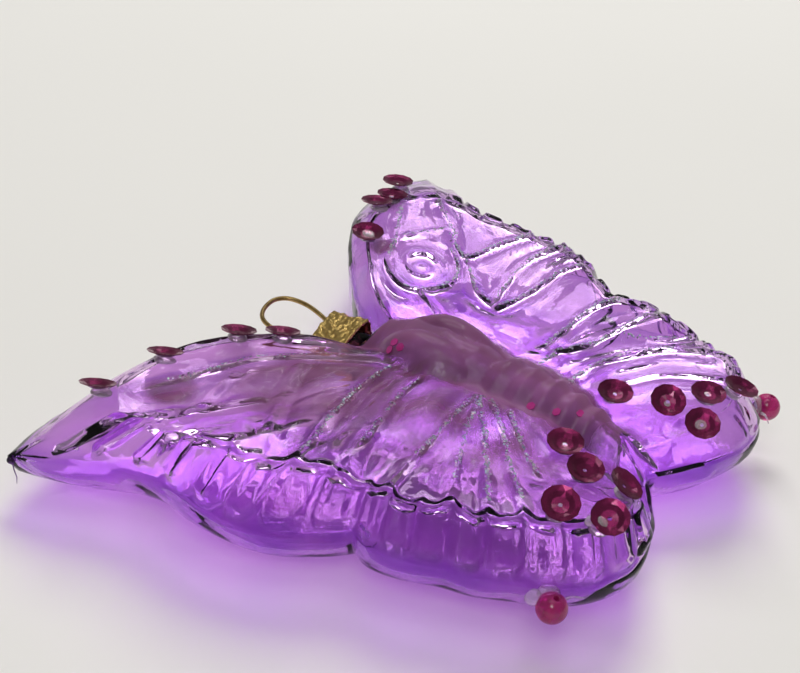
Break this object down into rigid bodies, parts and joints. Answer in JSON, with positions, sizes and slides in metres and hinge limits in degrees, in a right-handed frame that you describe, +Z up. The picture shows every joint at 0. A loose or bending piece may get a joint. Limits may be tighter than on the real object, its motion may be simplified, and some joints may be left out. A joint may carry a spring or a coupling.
{
  "type": "butterfly ornament",
  "caption": "Hollow blown-glass butterfly hanging ornament with a gold cap and wire loop, cup sequins, hexagonal confetti, glittered veins and tail beads.",
  "frame": {"origin": "middle of the glass's plan outline, on the surface that the ornament lies on", "axes": "+Z up out of the back, +Y towards the head and hanger, X = 0 the glass's middle plane with the butterfly's left wing at -X"},
  "size_m": [0.12, 0.0914, 0.0215],
  "materials": {
    "violet_glass": "clear violet-tinted blown glass, smooth, with a greyish mauve lacquer over the body and wing roots",
    "gold_foil_cap": "thin stamped gold-coloured metal, crinkled and bright",
    "gold_wire": "drawn wire, slightly dulled gold",
    "crimson_sequin": "metallised crimson film, faceted cup, bright on the facets",
    "crimson_bead": "transparent magenta-crimson glass, polished",
    "clear_glue": "clear set glue, glossy",
    "silver_glitter": "iridescent silver flakes in clear glue",
    "glitter_glue": "clear glue with fine iridescent flakes",
    "pink_confetti": "metallised hot pink film"
  },
  "bodies": {
    "butterfly": {"glass_shell": "violet_glass", "tail_bead_left": "crimson_bead", "tail_bead_right": "crimson_bead", "bead_glue_left": "clear_glue", "bead_glue_right": "clear_glue", "vein_glitter_left": "silver_glitter", "vein_glitter_right": "silver_glitter", "sequin_glue_left": "glitter_glue", "sequin_glue_right": "glitter_glue", "eye_confetti_left": "pink_confetti", "eye_confetti_right": "pink_confetti", "abdomen_confetti": "pink_confetti", "sequin_left_forewing_1": "crimson_sequin", "sequin_left_forewing_2": "crimson_sequin", "sequin_left_forewing_3": "crimson_sequin", "sequin_left_forewing_4": "crimson_sequin", "sequin_left_hindwing_1": "crimson_sequin", "sequin_left_hindwing_2": "crimson_sequin", "sequin_left_hindwing_3": "crimson_sequin", "sequin_left_hindwing_4": "crimson_sequin", "sequin_left_hindwing_5": "crimson_sequin", "sequin_right_forewing_1": "crimson_sequin", "sequin_right_forewing_2": "crimson_sequin", "sequin_right_forewing_3": "crimson_sequin", "sequin_right_forewing_4": "crimson_sequin", "sequin_right_hindwing_1": "crimson_sequin", "sequin_right_hindwing_2": "crimson_sequin", "sequin_right_hindwing_3": "crimson_sequin", "sequin_right_hindwing_4": "crimson_sequin", "sequin_right_hindwing_5": "crimson_sequin"},
    "cap": {"hanger_cap": "gold_foil_cap"},
    "wire": {"hanger_wire": "gold_wire"}
  },
  "joints": [
    {"name": "cap_pull", "type": "slide", "parent": "butterfly", "child": "cap", "axis": [0, 1, 0], "range_m": [0, 0.012]},
    {"name": "wire_pull", "type": "slide", "parent": "cap", "child": "wire", "axis": [0, 1, 0], "range_m": [0, 0.004]}
  ]
}
